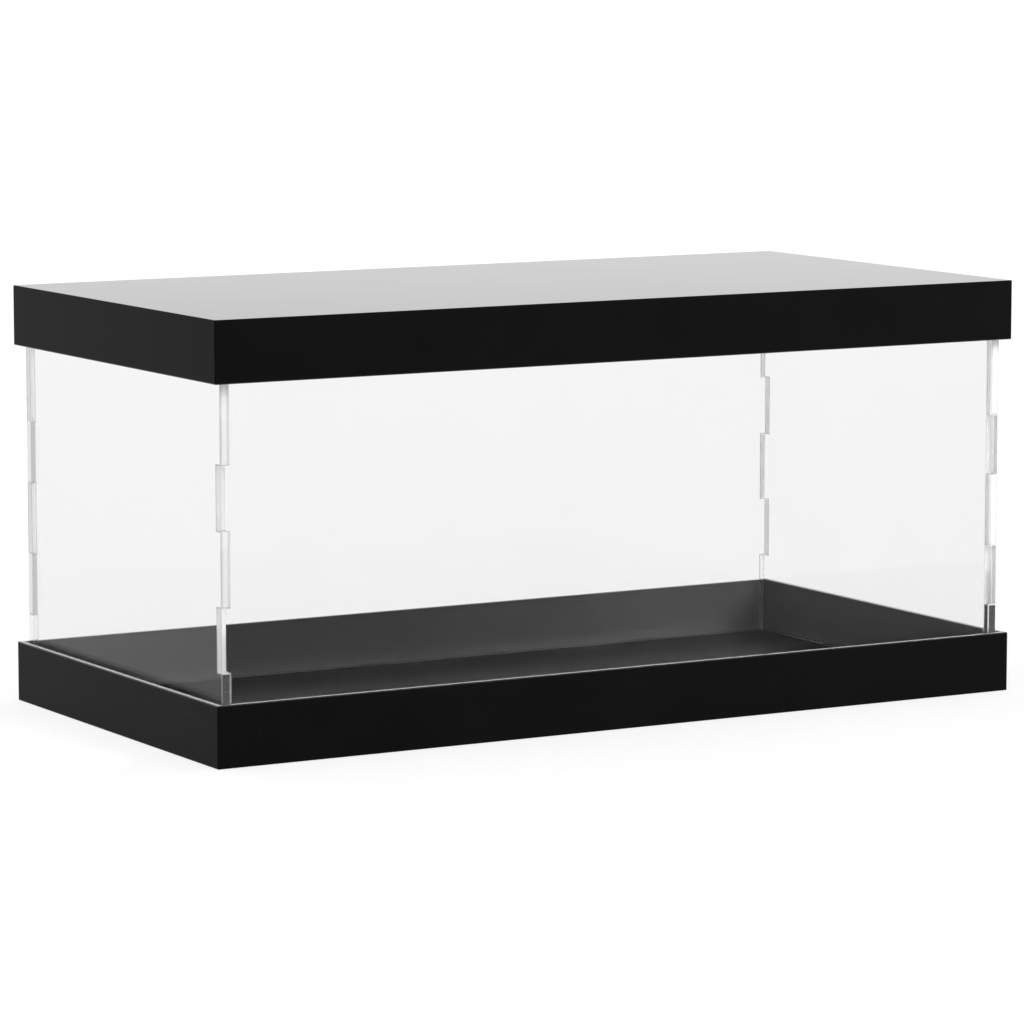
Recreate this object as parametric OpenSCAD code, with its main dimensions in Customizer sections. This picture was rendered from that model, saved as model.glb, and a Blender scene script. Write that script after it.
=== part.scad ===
// Display case: a black tray, four clear finger-jointed panels that stand in it, and a black lift-off lid.
// The origin is the middle of the underside. +X runs along the length, +Y to the rear and +Z up.

/* [Case] */
// Outside length of the base and of the lid
case_length = 300; // [180:1:600]
// Outside depth of the base and of the lid, front to rear
case_depth = 150; // [90:1:400]

/* [Black sheet] */
// Thickness of the black sheet that the base and the lid are made of
black_sheet = 2; // [1.5:0.1:5]

/* [Base] */
// Outside height of the base tray
base_height = 20; // [10:1:50]

/* [Clear panels] */
// Thickness of the clear sheet
clear_sheet = 3; // [2:0.1:6]
// Height of every panel, from the tray's floor to the lid's ceiling
panel_height = 120; // [90:1:300]
// Gap all round between the panels and the walls of the base and of the lid
panel_play = 1; // [0.2:0.1:3]

/* [Finger joints] */
// Tabs on each upright edge of the front and rear panels
tab_count = 2; // [1:1:3]
// Height of one tab
tab_height = 20.5; // [8:0.5:24]
// Space between two tabs, filled by a finger of the side panel
tab_spacing = 24; // [8:0.5:30]
// Gap between the two panels on every mating face of a finger joint
tab_play = 0.1; // [0.05:0.05:0.4]

/* [Lid] */
// Outside height of the lid
lid_height = 20; // [10:1:60]
// How far the lid's skirts hang below the tops of the panels
lid_overlap = 2; // [1:0.5:6]

/* [Hidden] */

black_acrylic = [0.02, 0.02, 0.022];
clear_acrylic = [0.93, 0.95, 0.95, 0.3];

// Outline of the box that the four panels make
panels_length = case_length - 2 * (black_sheet + panel_play);
panels_depth = case_depth - 2 * (black_sheet + panel_play);

// Thickness of a panel with the play of a finger joint, and the front panel's length between its tabs
joint_depth = clear_sheet + tab_play;
shoulder_length = panels_length - 2 * joint_depth;

// Levels, measured up from the underside
floor_z = black_sheet;
panel_top_z = floor_z + panel_height;
lid_bottom_z = panel_top_z - lid_overlap;
lid_top_z = lid_bottom_z + lid_height;

// Lower edge of each tab above a panel's own lower edge, the row of tabs centred on the panel
tab_pitch = tab_height + tab_spacing;
tab_row = tab_count * tab_height + (tab_count - 1) * tab_spacing;
tab_starts = [for (i = [0 : tab_count - 1]) (panel_height - tab_row) / 2 + i * tab_pitch];

// How far a cutter runs past the surface that it cuts
cut_past = 1;

// Quarter turns that carry a front wall or panel round to each side
front = 0;
right = 90;
rear = 180;
left = 270;

// Section of a sheet lying flat, its edges mitred inwards at 45 degrees from the underside up
module mitred_section(width) {
    half = width / 2;
    polygon([
        [-half, 0],
        [half, 0],
        [half - black_sheet, black_sheet],
        [-half + black_sheet, black_sheet]
    ]);
}

// Flat black sheet with mitred edges on all four sides, its full outline underneath
module black_plate() {
    intersection() {
        rotate([90, 0, 90])
            linear_extrude(case_length, center = true)
                mitred_section(case_depth);
        rotate([90, 0, 0])
            linear_extrude(case_depth, center = true)
                mitred_section(case_length);
    }
}

// Upright black sheet along X with its outer face on the plane y = 0.
// Both ends are mitred to the next wall, and the lower edge is mitred to the plate.
module black_wall(run, height) {
    intersection() {
        linear_extrude(height)
            mitred_section(run);
        rotate([90, 0, 90])
            linear_extrude(run, center = true)
                polygon([[0, 0], [black_sheet, black_sheet], [black_sheet, height], [0, height]]);
    }
}

// One wall of a tray, turned to its side of the case
module tray_wall(side, height) {
    end_side = side == left || side == right;
    run = end_side ? case_depth : case_length;
    reach = end_side ? case_length : case_depth;
    rotate([0, 0, side])
        translate([0, -reach / 2, 0])
            black_wall(run, height);
}

// Turns a tray over, so that its floor becomes the lid's top
module as_lid() {
    translate([0, 0, lid_top_z])
        mirror([0, 0, 1])
            children();
}

module base_floor() {
    color(black_acrylic) black_plate();
}

module base_wall(side) {
    color(black_acrylic) tray_wall(side, base_height);
}

module lid_top() {
    color(black_acrylic) as_lid() black_plate();
}

module lid_skirt(side) {
    color(black_acrylic) as_lid() tray_wall(side, lid_height);
}

// Sheet between the skirts whose underside rests on the tops of the panels
module lid_ceiling() {
    color(black_acrylic)
        translate([-case_length / 2 + black_sheet, -case_depth / 2 + black_sheet, panel_top_z])
            cube([case_length - 2 * black_sheet, case_depth - 2 * black_sheet, black_sheet]);
}

// Front or rear panel: a sheet between the side panels, with tabs that pass through them
module tabbed_panel(side) {
    color(clear_acrylic)
        rotate([0, 0, side])
            translate([0, -panels_depth / 2, floor_z]) {
                translate([-shoulder_length / 2, 0, 0])
                    cube([shoulder_length, clear_sheet, panel_height]);
                for (start = tab_starts)
                    translate([-panels_length / 2, 0, start])
                        cube([panels_length, clear_sheet, tab_height]);
            }
}

// Left or right panel: a sheet as deep as the box of panels, with a notch round each tab
module notched_panel(side) {
    color(clear_acrylic)
        rotate([0, 0, side])
            translate([0, -panels_length / 2, floor_z])
                difference() {
                    translate([-panels_depth / 2, 0, 0])
                        cube([panels_depth, clear_sheet, panel_height]);
                    for (start = tab_starts, end = [-1, 1])
                        tab_notch(start, end);
                }
}

// Cutter for one notch, at one upright edge of a side panel
module tab_notch(start, end) {
    reach = joint_depth + cut_past;
    middle = end * (panels_depth / 2 + cut_past - reach / 2);
    translate([middle - reach / 2, -cut_past, start - tab_play])
        cube([reach, clear_sheet + 2 * cut_past, tab_height + 2 * tab_play]);
}

base_floor();
base_wall(front);  // base_front_wall
base_wall(rear);  // base_rear_wall
base_wall(left);  // base_left_wall
base_wall(right);  // base_right_wall
tabbed_panel(front);  // front_panel
tabbed_panel(rear);  // rear_panel
notched_panel(left);  // left_panel
notched_panel(right);  // right_panel
lid_top();
lid_skirt(front);  // lid_front_skirt
lid_skirt(rear);  // lid_rear_skirt
lid_skirt(left);  // lid_left_skirt
lid_skirt(right);  // lid_right_skirt
lid_ceiling();
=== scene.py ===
"""Looks of the acrylic display case: rounded black sheets, clear finger-jointed panels, studio and camera."""

import math

import bmesh
import bpy
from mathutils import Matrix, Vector


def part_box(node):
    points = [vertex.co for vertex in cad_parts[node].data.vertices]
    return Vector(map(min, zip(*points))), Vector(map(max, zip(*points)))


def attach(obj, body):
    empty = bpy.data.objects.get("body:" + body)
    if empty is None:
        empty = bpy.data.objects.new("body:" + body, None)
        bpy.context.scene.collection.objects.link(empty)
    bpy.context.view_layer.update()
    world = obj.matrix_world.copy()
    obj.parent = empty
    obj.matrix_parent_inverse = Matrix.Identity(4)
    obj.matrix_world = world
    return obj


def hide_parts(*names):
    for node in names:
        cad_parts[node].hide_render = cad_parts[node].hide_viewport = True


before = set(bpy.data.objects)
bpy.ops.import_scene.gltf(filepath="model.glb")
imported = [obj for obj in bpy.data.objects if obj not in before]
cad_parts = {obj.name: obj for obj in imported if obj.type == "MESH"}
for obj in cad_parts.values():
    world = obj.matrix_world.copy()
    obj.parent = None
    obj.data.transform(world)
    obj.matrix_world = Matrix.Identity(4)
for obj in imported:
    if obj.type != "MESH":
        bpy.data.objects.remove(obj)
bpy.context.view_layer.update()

MM = 0.001

# Roundings of the edges
BLACK_EDGE_ROUND = 0.35 * MM
BLACK_EDGE_SEGMENTS = 5
RIM_INNER_ROUND = 0.25 * MM
CEILING_EDGE_ROUND = 0.2 * MM
CUT_EDGE_ROUND = 0.22 * MM
CUT_EDGE_SEGMENTS = 3

# Air left under and over a clear panel, where it stands on the floor and carries the lid
SEAT_AIR = 0.05 * MM

# Reach past a tab within which a cut face belongs to that tab's joint
JOINT_REACH = 0.3 * MM

# Distance within which a point counts as lying on a plane, or two points as one
ON_PLANE = 0.002 * MM
SAME_POINT = 0.001 * MM

# Cosines past which a face counts as square to a direction, or as turned towards it
SQUARE_ON = 0.99
TURNED_TO = 0.1

# Angle under which neighbouring faces count as one flat face
FLAT_ANGLE = math.radians(1)

# Thickness of the black sheet, from the lid's ceiling
ceiling_low, ceiling_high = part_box("lid_ceiling")
BLACK_SHEET = ceiling_high.z - ceiling_low.z

# Thickness of the clear sheet, and how far the panels' middle planes lie from the case's own
front_low, front_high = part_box("front_panel")
left_low, left_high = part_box("left_panel")
CLEAR_THICKNESS = left_high.x - left_low.x
PANEL_MIDDLES = (-(left_low.x + left_high.x) / 2, -(front_low.y + front_high.y) / 2, 0)

# Share of a cut edge's thickness that keeps its middle tone; towards the rims it darkens to a painted dark
# outline
EVEN_SHARE = 0.4

# Level of the tray's rim
TRAY_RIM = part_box("base_front_wall")[1].z

FRONT = Vector((0, -1, 0))
REAR = Vector((0, 1, 0))
LEFT = Vector((-1, 0, 0))
RIGHT = Vector((1, 0, 0))
UP = Vector((0, 0, 1))
DOWN = Vector((0, 0, -1))


# Materials

# Acrylic's own index, and lower ones for faces that should mirror little of the white room
ACRYLIC_IOR = 1.49
BLACK_IOR = 1.1
RIM_IOR = 1.4
SATIN_IOR = 1.18
CLEAR_IOR = 1.16

# Range that most of a noise texture's values fill
NOISE_LOW = 0.3
NOISE_HIGH = 0.7


def new_material(name):
    """A material with a Principled shader, its nodes, its links and that shader."""
    material = bpy.data.materials.new(name)
    material.use_nodes = True
    nodes = material.node_tree.nodes
    return material, nodes, material.node_tree.links, nodes["Principled BSDF"]


def noise(nodes, links, scale, detail, stretch=(1, 1, 1)):
    """Noise on the piece's own coordinates; scale counts blobs per metre."""
    place = nodes.new("ShaderNodeTexCoord")
    turn = nodes.new("ShaderNodeMapping")
    turn.inputs["Scale"].default_value = stretch
    texture = nodes.new("ShaderNodeTexNoise")
    texture.inputs["Scale"].default_value = scale
    texture.inputs["Detail"].default_value = detail
    links.new(place.outputs["Object"], turn.inputs["Vector"])
    links.new(turn.outputs["Vector"], texture.inputs["Vector"])
    return texture.outputs["Fac"]


def spread(nodes, links, value, low, high, from_low=NOISE_LOW, from_high=NOISE_HIGH):
    """Turns a value, such as noise, into the range low to high."""
    ranged = nodes.new("ShaderNodeMapRange")
    ranged.inputs["From Min"].default_value = from_low
    ranged.inputs["From Max"].default_value = from_high
    ranged.inputs["To Min"].default_value = low
    ranged.inputs["To Max"].default_value = high
    links.new(value, ranged.inputs["Value"])
    return ranged.outputs["Result"]


def between(nodes, links, value, dark, light):
    """Grey between two tones, led by a noise value."""
    ramp = nodes.new("ShaderNodeValToRGB")
    ramp.color_ramp.elements[0].position = NOISE_LOW
    ramp.color_ramp.elements[0].color = (dark, dark, dark, 1)
    ramp.color_ramp.elements[1].position = NOISE_HIGH
    ramp.color_ramp.elements[1].color = (light, light, light, 1)
    links.new(value, ramp.inputs["Fac"])
    return ramp.outputs["Color"]


def black_gloss(name, ior, smoothest=0.05, roughest=0.09):
    """Polished or satin face of the black sheet: deep black, a faint swirl of polish in its gloss."""
    material, nodes, links, shader = new_material(name)
    shader.inputs["IOR"].default_value = ior
    swirl = noise(nodes, links, scale=45, detail=4)
    links.new(between(nodes, links, swirl, dark=0.0032, light=0.004), shader.inputs["Base Color"])
    links.new(spread(nodes, links, swirl, smoothest, roughest), shader.inputs["Roughness"])
    return material


def black_matte_painted_light():
    """Face of the black sheet inside a wall, or of the lid's ceiling: dull, with a fine grain. Its grey, far
    lighter than the sheet's own black, is painted light on the inside of the case.
    """
    material, nodes, links, shader = new_material("black_matte_painted_light")
    shader.inputs["IOR"].default_value = ACRYLIC_IOR
    shader.inputs["Specular IOR Level"].default_value = 0.3
    grain = noise(nodes, links, scale=400, detail=3)
    # Painted light: this grey lifts the inside faces well above the sheet's own black
    links.new(between(nodes, links, grain, dark=0.082, light=0.098), shader.inputs["Base Color"])
    links.new(spread(nodes, links, grain, low=0.36, high=0.42), shader.inputs["Roughness"])
    return material


def clear_sheet():
    """Polished face of the clear sheet, with the slight waviness of cast acrylic in its gloss."""
    material, nodes, links, shader = new_material("clear_sheet")
    shader.inputs["Transmission Weight"].default_value = 1
    shader.inputs["IOR"].default_value = CLEAR_IOR
    cast = noise(nodes, links, scale=30, detail=2)
    links.new(between(nodes, links, cast, dark=0.921, light=0.927), shader.inputs["Base Color"])
    links.new(spread(nodes, links, cast, low=0, high=0.008), shader.inputs["Roughness"])
    return material


def off_middle(nodes, links):
    """Distance from the middle plane of a clear panel, the nearer plane where two panels meet."""
    place = nodes.new("ShaderNodeTexCoord")
    mirrored = nodes.new("ShaderNodeVectorMath")
    mirrored.operation = "ABSOLUTE"
    past_middle = nodes.new("ShaderNodeVectorMath")
    past_middle.operation = "SUBTRACT"
    past_middle.inputs[1].default_value = PANEL_MIDDLES
    distance = nodes.new("ShaderNodeVectorMath")
    distance.operation = "ABSOLUTE"
    axes = nodes.new("ShaderNodeSeparateXYZ")
    nearer = nodes.new("ShaderNodeMath")
    nearer.operation = "MINIMUM"
    links.new(place.outputs["Object"], mirrored.inputs[0])
    links.new(mirrored.outputs["Vector"], past_middle.inputs[0])
    links.new(past_middle.outputs["Vector"], distance.inputs[0])
    links.new(distance.outputs["Vector"], axes.inputs["Vector"])
    links.new(axes.outputs["X"], nearer.inputs[0])
    links.new(axes.outputs["Y"], nearer.inputs[1])
    return nearer.outputs["Value"]


def clear_cut_edge(name, middle_tone, painted_outline_tone, clearness):
    """Laser-cut edge of the clear sheet, more or less frosted: one tone along the middle of the thickness,
    shading off at the two rims to a darker one, a painted dark outline standing in for shade, with fine
    ripples in its gloss."""
    material, nodes, links, shader = new_material(name)
    shader.inputs["Transmission Weight"].default_value = clearness
    shader.inputs["IOR"].default_value = CLEAR_IOR
    half = CLEAR_THICKNESS / 2
    distance = off_middle(nodes, links)
    # Painted shade: the tone darkens towards both rims of the thickness, drawing a dark outline along the
    # edge
    shade = spread(nodes, links, distance, middle_tone, painted_outline_tone, from_low=EVEN_SHARE * half, from_high=half)
    links.new(shade, shader.inputs["Base Color"])
    ripple = noise(nodes, links, scale=900, detail=1, stretch=(0.3, 0.3, 1.6))
    links.new(spread(nodes, links, ripple, low=0.05, high=0.15), shader.inputs["Roughness"])
    return material


# Modelling

def box_corner(low, high, direction):
    """Point of a box that lies furthest along a direction, middled on the axes that it leaves out."""
    return Vector(
        high[i] if direction[i] > 0 else low[i] if direction[i] < 0 else (low[i] + high[i]) / 2
        for i in range(3)
    )


def rounded_block(low, high, round_off, segments):
    """Solid box with every edge rounded."""
    bm = bmesh.new()
    bmesh.ops.create_cube(bm, size=1)
    bmesh.ops.scale(bm, vec=high - low, verts=bm.verts)
    bmesh.ops.translate(bm, vec=(low + high) / 2, verts=bm.verts)
    round_edges(bm, bm.edges[:], round_off, segments)
    return bm


def round_edges(bm, edges, round_off, segments):
    """Rounds the given edges."""
    bmesh.ops.bevel(
        bm, geom=edges, offset=round_off, offset_type="OFFSET", segments=segments,
        profile=0.5, affect="EDGES", material=-1, clamp_overlap=True,
    )


def split_faces(bm, point, normal, clear_outer=False):
    """Splits the faces that cross a plane, and takes away what lies past it if asked to."""
    everything = bm.verts[:] + bm.edges[:] + bm.faces[:]
    bmesh.ops.bisect_plane(
        bm, geom=everything, dist=ON_PLANE, plane_co=point, plane_no=normal, clear_outer=clear_outer,
    )


def saw_off(bm, point, outward):
    """Takes away what lies past a plane, and closes the cut with one face."""
    split_faces(bm, point, outward, clear_outer=True)
    open_edges = [edge for edge in bm.edges if edge.is_boundary]
    bmesh.ops.holes_fill(bm, edges=open_edges, sides=0)


def on_plane(vert, point, normal):
    """True for a vertex that lies on a plane."""
    return abs((vert.co - point).dot(normal)) < ON_PLANE


def finished_piece(bm, name, node, body, materials):
    """Makes the mesh an object that stands for its CAD node and moves with its body."""
    bmesh.ops.recalc_face_normals(bm, faces=bm.faces)
    mesh = bpy.data.meshes.new(name)
    bm.to_mesh(mesh)
    bm.free()
    for material in materials:
        mesh.materials.append(material)
    piece = bpy.data.objects.new(name, mesh)
    CASE.objects.link(piece)
    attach(piece, body)
    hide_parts(node)


def black_finish(face, outward, rim):
    """Finish of one face of a black sheet: inside, satin on a plate and, on a wall, matte lightened by
    painted light; else gloss.
    A wall's rim has a brighter gloss."""
    if face.normal.dot(outward) < -SQUARE_ON:
        return BLACK_MATTE_PAINTED_LIGHT if rim else BLACK_SATIN
    if rim and face.normal.dot(rim) > TURNED_TO:
        return BLACK_RIM
    return BLACK_GLOSS


def black_sheet(node, body, tray, outward, neighbours, rim=None):
    """One black sheet of a tray, sawn from the tray's rounded block along the mitres to its neighbours.
    A wall's free rim, which faces along rim, is eased on its inner edge as well."""
    low, high = tray
    bm = rounded_block(low, high, BLACK_EDGE_ROUND, BLACK_EDGE_SEGMENTS)
    inner_face = box_corner(low, high, outward) - outward * BLACK_SHEET
    saw_off(bm, inner_face, -outward)
    for other in neighbours:
        saw_off(bm, box_corner(low, high, outward + other), other - outward)
    if rim:
        rim_face = box_corner(low, high, rim)
        inner_rim = [
            edge for edge in bm.edges
            if all(on_plane(v, inner_face, outward) and on_plane(v, rim_face, rim) for v in edge.verts)
        ]
        round_edges(bm, inner_rim, RIM_INNER_ROUND, CUT_EDGE_SEGMENTS)
    bmesh.ops.recalc_face_normals(bm, faces=bm.faces)
    finishes = [BLACK_GLOSS, BLACK_MATTE_PAINTED_LIGHT, BLACK_RIM, BLACK_SATIN]
    for face in bm.faces:
        face.material_index = finishes.index(black_finish(face, outward, rim))
    finished_piece(bm, node + "_sheet", node, body, finishes)


def black_tray(body, prefix, plate, plate_side, wall):
    """The five sheets of the base, or of the lid: a plate and the four walls that stand on it."""
    walls = {"front": FRONT, "rear": REAR, "left": LEFT, "right": RIGHT}
    names = {f"{prefix}_{side}_{wall}": outward for side, outward in walls.items()}
    corners = [corner for name in [plate, *names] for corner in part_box(name)]
    tray = (
        Vector(min(c[i] for c in corners) for i in range(3)),
        Vector(max(c[i] for c in corners) for i in range(3)),
    )
    black_sheet(plate, body, tray, plate_side, list(walls.values()))
    for name, outward in names.items():
        beside = [other for other in walls.values() if other.dot(outward) == 0]
        black_sheet(name, body, tray, outward, [*beside, plate_side], rim=-plate_side)


def lid_ceiling():
    """Sheet between the lid's skirts, its edges eased."""
    bm = rounded_block(ceiling_low, ceiling_high, CEILING_EDGE_ROUND, CUT_EDGE_SEGMENTS)
    finished_piece(bm, "lid_ceiling_sheet", "lid_ceiling", "lid", [BLACK_MATTE_PAINTED_LIGHT])


def tab_stretches():
    """Lowest and highest level of each tab, read from the ends of the front panel's tabs."""
    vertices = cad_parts["front_panel"].data.vertices
    ends = [v.co.z for v in vertices if on_plane(v, front_low, RIGHT)]
    levels = sorted({round(z / SAME_POINT) * SAME_POINT for z in ends})
    return list(zip(levels[0::2], levels[1::2]))


def panel_finish(face, outward, foot_level, joint_finish):
    """Finish of one face of a clear panel: polished, or an arris or cut edge by its level.
    The foot is as clear as the polished faces, and edges between the foot and the lowest tab nearly so."""
    level = face.calc_center_median().z
    if abs(face.normal.dot(outward)) > SQUARE_ON or level < foot_level + ON_PLANE:
        return CLEAR_SHEET
    if max(abs(n) for n in face.normal) < SQUARE_ON and level > TRAY_RIM:
        return ARRIS
    if level < TAB_STRETCHES[0][0] - JOINT_REACH:
        return FOOT_EDGE
    if any(start - JOINT_REACH < level < end + JOINT_REACH for start, end in TAB_STRETCHES):
        return joint_finish
    return CUT_EDGE


def clear_panel(node, outward, joint_finish):
    """One clear panel: the CAD sheet with its cut edges eased, and a breath of air at its foot and top.
    Its faces are split at the tray's rim, because the arrises below that have another finish."""
    bm = bmesh.new()
    bm.from_mesh(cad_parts[node].data)
    bmesh.ops.remove_doubles(bm, verts=bm.verts, dist=SAME_POINT)
    bmesh.ops.dissolve_limit(bm, angle_limit=FLAT_ANGLE, verts=bm.verts, edges=bm.edges)
    low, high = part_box(node)
    for vert in bm.verts:
        if on_plane(vert, low, UP):
            vert.co.z += SEAT_AIR
        elif on_plane(vert, high, UP):
            vert.co.z -= SEAT_AIR
    foot, head = low + UP * SEAT_AIR, high - UP * SEAT_AIR
    eased = [
        edge for edge in bm.edges
        if not any(all(on_plane(v, end, UP) for v in edge.verts) for end in (foot, head))
    ]
    round_edges(bm, eased, CUT_EDGE_ROUND, CUT_EDGE_SEGMENTS)
    split_faces(bm, UP * TRAY_RIM, UP)
    bmesh.ops.recalc_face_normals(bm, faces=bm.faces)
    finishes = [CLEAR_SHEET, CUT_EDGE, joint_finish, ARRIS, FOOT_EDGE]
    for face in bm.faces:
        face.material_index = finishes.index(panel_finish(face, outward, foot.z, joint_finish))
    finished_piece(bm, node + "_sheet", node, "sleeve", finishes)


# Studio

FLOOR_HALF = 15.0
FLOOR_DROP = 0.1 * MM
FLOOR_TONE = 0.4
BACKGROUND_LIFT = 0.74
WORLD_LIGHT = 0.75


def seen_directly(nodes, links):
    """1 for rays from the camera, from gloss and through clear sheet, else 0."""
    path = nodes.new("ShaderNodeLightPath")
    first = nodes.new("ShaderNodeMath")
    first.operation = "MAXIMUM"
    second = nodes.new("ShaderNodeMath")
    second.operation = "MAXIMUM"
    links.new(path.outputs["Is Camera Ray"], first.inputs[0])
    links.new(path.outputs["Is Glossy Ray"], first.inputs[1])
    links.new(first.outputs["Value"], second.inputs[0])
    links.new(path.outputs["Is Transmission Ray"], second.inputs[1])
    return second.outputs["Value"]


def floor_finish():
    """Pale floor that keeps the shadow, lifted to white where it is seen."""
    material = bpy.data.materials.new("pale_floor")
    material.use_nodes = True
    nodes, links = material.node_tree.nodes, material.node_tree.links
    nodes.remove(nodes["Principled BSDF"])
    lit = nodes.new("ShaderNodeBsdfDiffuse")
    lit.inputs["Color"].default_value = (FLOOR_TONE, FLOOR_TONE, FLOOR_TONE, 1)
    lift = nodes.new("ShaderNodeEmission")
    amount = nodes.new("ShaderNodeMath")
    amount.operation = "MULTIPLY"
    amount.inputs[1].default_value = BACKGROUND_LIFT
    both = nodes.new("ShaderNodeAddShader")
    links.new(seen_directly(nodes, links), amount.inputs[0])
    links.new(amount.outputs["Value"], lift.inputs["Strength"])
    links.new(lit.outputs["BSDF"], both.inputs[0])
    links.new(lift.outputs["Emission"], both.inputs[1])
    links.new(both.outputs["Shader"], nodes["Material Output"].inputs["Surface"])
    return material


def floor():
    """Wide pale floor just under the case."""
    bm = bmesh.new()
    bmesh.ops.create_grid(bm, x_segments=1, y_segments=1, size=FLOOR_HALF)
    bmesh.ops.translate(bm, vec=(0, 0, -FLOOR_DROP), verts=bm.verts)
    mesh = bpy.data.meshes.new("floor")
    bm.to_mesh(mesh)
    bm.free()
    mesh.materials.append(floor_finish())
    ground = bpy.data.objects.new("floor", mesh)
    bpy.context.scene.collection.objects.link(ground)


def white_room():
    """White surroundings, a little dimmer as a light than as a background."""
    world = bpy.data.worlds.new("white_room")
    bpy.context.scene.world = world
    world.use_nodes = True
    nodes, links = world.node_tree.nodes, world.node_tree.links
    background = nodes["Background"]
    background.inputs["Color"].default_value = (1, 1, 1, 1)
    level = nodes.new("ShaderNodeMapRange")
    level.inputs["To Min"].default_value = WORLD_LIGHT
    level.inputs["To Max"].default_value = 1
    links.new(seen_directly(nodes, links), level.inputs["Value"])
    links.new(level.outputs["Result"], background.inputs["Strength"])


def softbox(name, at, aim, width, height, strength, lights_only=None):
    """Rectangular soft light with a power of strength times pi for each square metre of its face.
    One that is shaded from the rest of the room lights only a collection, and isn't seen in gloss."""
    light = bpy.data.lights.new(name, "AREA")
    light.shape = "RECTANGLE"
    light.size = width
    light.size_y = height
    light.energy = strength * math.pi * width * height
    lamp = bpy.data.objects.new(name, light)
    lamp.location = at
    lamp.rotation_euler = (Vector(aim) - Vector(at)).to_track_quat("-Z", "Y").to_euler()
    lamp.light_linking.receiver_collection = lights_only
    lamp.visible_glossy = lights_only is None
    bpy.context.scene.collection.objects.link(lamp)


# Camera, fitted to the photograph's perspective
CAMERA_AT = Vector((-0.817, -1.4133, 0.2753))
CAMERA_HEADING = math.radians(29.988)
CAMERA_DOWN = math.radians(7.427)
CAMERA_LENS = 171.72
CAMERA_SENSOR = 36
CAMERA_NEAREST = 0.05
CAMERA_FURTHEST = 100


def camera():
    """Long lens from the front left, looking slightly down."""
    data = bpy.data.cameras.new("camera")
    data.lens = CAMERA_LENS
    data.sensor_width = CAMERA_SENSOR
    data.clip_start = CAMERA_NEAREST
    data.clip_end = CAMERA_FURTHEST
    viewer = bpy.data.objects.new("camera", data)
    viewer.location = CAMERA_AT
    viewer.rotation_euler = (math.pi / 2 - CAMERA_DOWN, 0, -CAMERA_HEADING)
    bpy.context.scene.collection.objects.link(viewer)
    bpy.context.scene.camera = viewer


# The case

CASE = bpy.data.collections.new("case")
bpy.context.scene.collection.children.link(CASE)

BLACK_GLOSS = black_gloss("black_gloss", BLACK_IOR)
BLACK_RIM = black_gloss("black_rim", RIM_IOR)
BLACK_SATIN = black_gloss("black_satin", SATIN_IOR, smoothest=0.29, roughest=0.33)
# Matte inner black, lightened to a grey as painted light on the inside of the case
BLACK_MATTE_PAINTED_LIGHT = black_matte_painted_light()
CLEAR_SHEET = clear_sheet()
# Each cut edge's outline tone is a painted dark outline, no darker than its middle tone
CUT_EDGE = clear_cut_edge("clear_cut_edge", middle_tone=0.92, painted_outline_tone=0.48, clearness=0.45)
TAB_EDGE = clear_cut_edge("tab_edge", middle_tone=0.98, painted_outline_tone=0.94, clearness=0.55)
NOTCH_EDGE = clear_cut_edge("notch_edge", middle_tone=0.88, painted_outline_tone=0.84, clearness=0.3)
FOOT_EDGE = clear_cut_edge("foot_edge", middle_tone=0.86, painted_outline_tone=0.82, clearness=0.955)
ARRIS = clear_cut_edge("eased_arris", middle_tone=0.84, painted_outline_tone=0.8, clearness=0.55)
TAB_STRETCHES = tab_stretches()

black_tray("base", "base", "base_floor", DOWN, "wall")
black_tray("lid", "lid", "lid_top", UP, "skirt")
lid_ceiling()
clear_panel("front_panel", FRONT, TAB_EDGE)
clear_panel("rear_panel", REAR, TAB_EDGE)
clear_panel("left_panel", LEFT, NOTCH_EDGE)
clear_panel("right_panel", RIGHT, NOTCH_EDGE)

# The photograph's view and light

camera()
floor()
white_room()
softbox("back_softbox", at=(1.1, 1.9, 0.75), aim=(0, 0, 0.14), width=3.0, height=1.2, strength=0.37)
softbox(
    "right_softbox", at=(0.73, -0.59, 0.79), aim=(0.1, 0.07, 0.01), width=0.6, height=0.6, strength=24,
    lights_only=CASE,
)

scene = bpy.context.scene
scene.view_settings.view_transform = "Standard"
# Light runs along inside the clear sheet from edge to edge, by many reflections
LIGHT_BOUNCES = 96
scene.cycles.max_bounces = LIGHT_BOUNCES
scene.cycles.transmission_bounces = LIGHT_BOUNCES
scene.cycles.glossy_bounces = LIGHT_BOUNCES
# Clear sheet stays clear to light that has already met a dull surface
scene.cycles.blur_glossy = 0
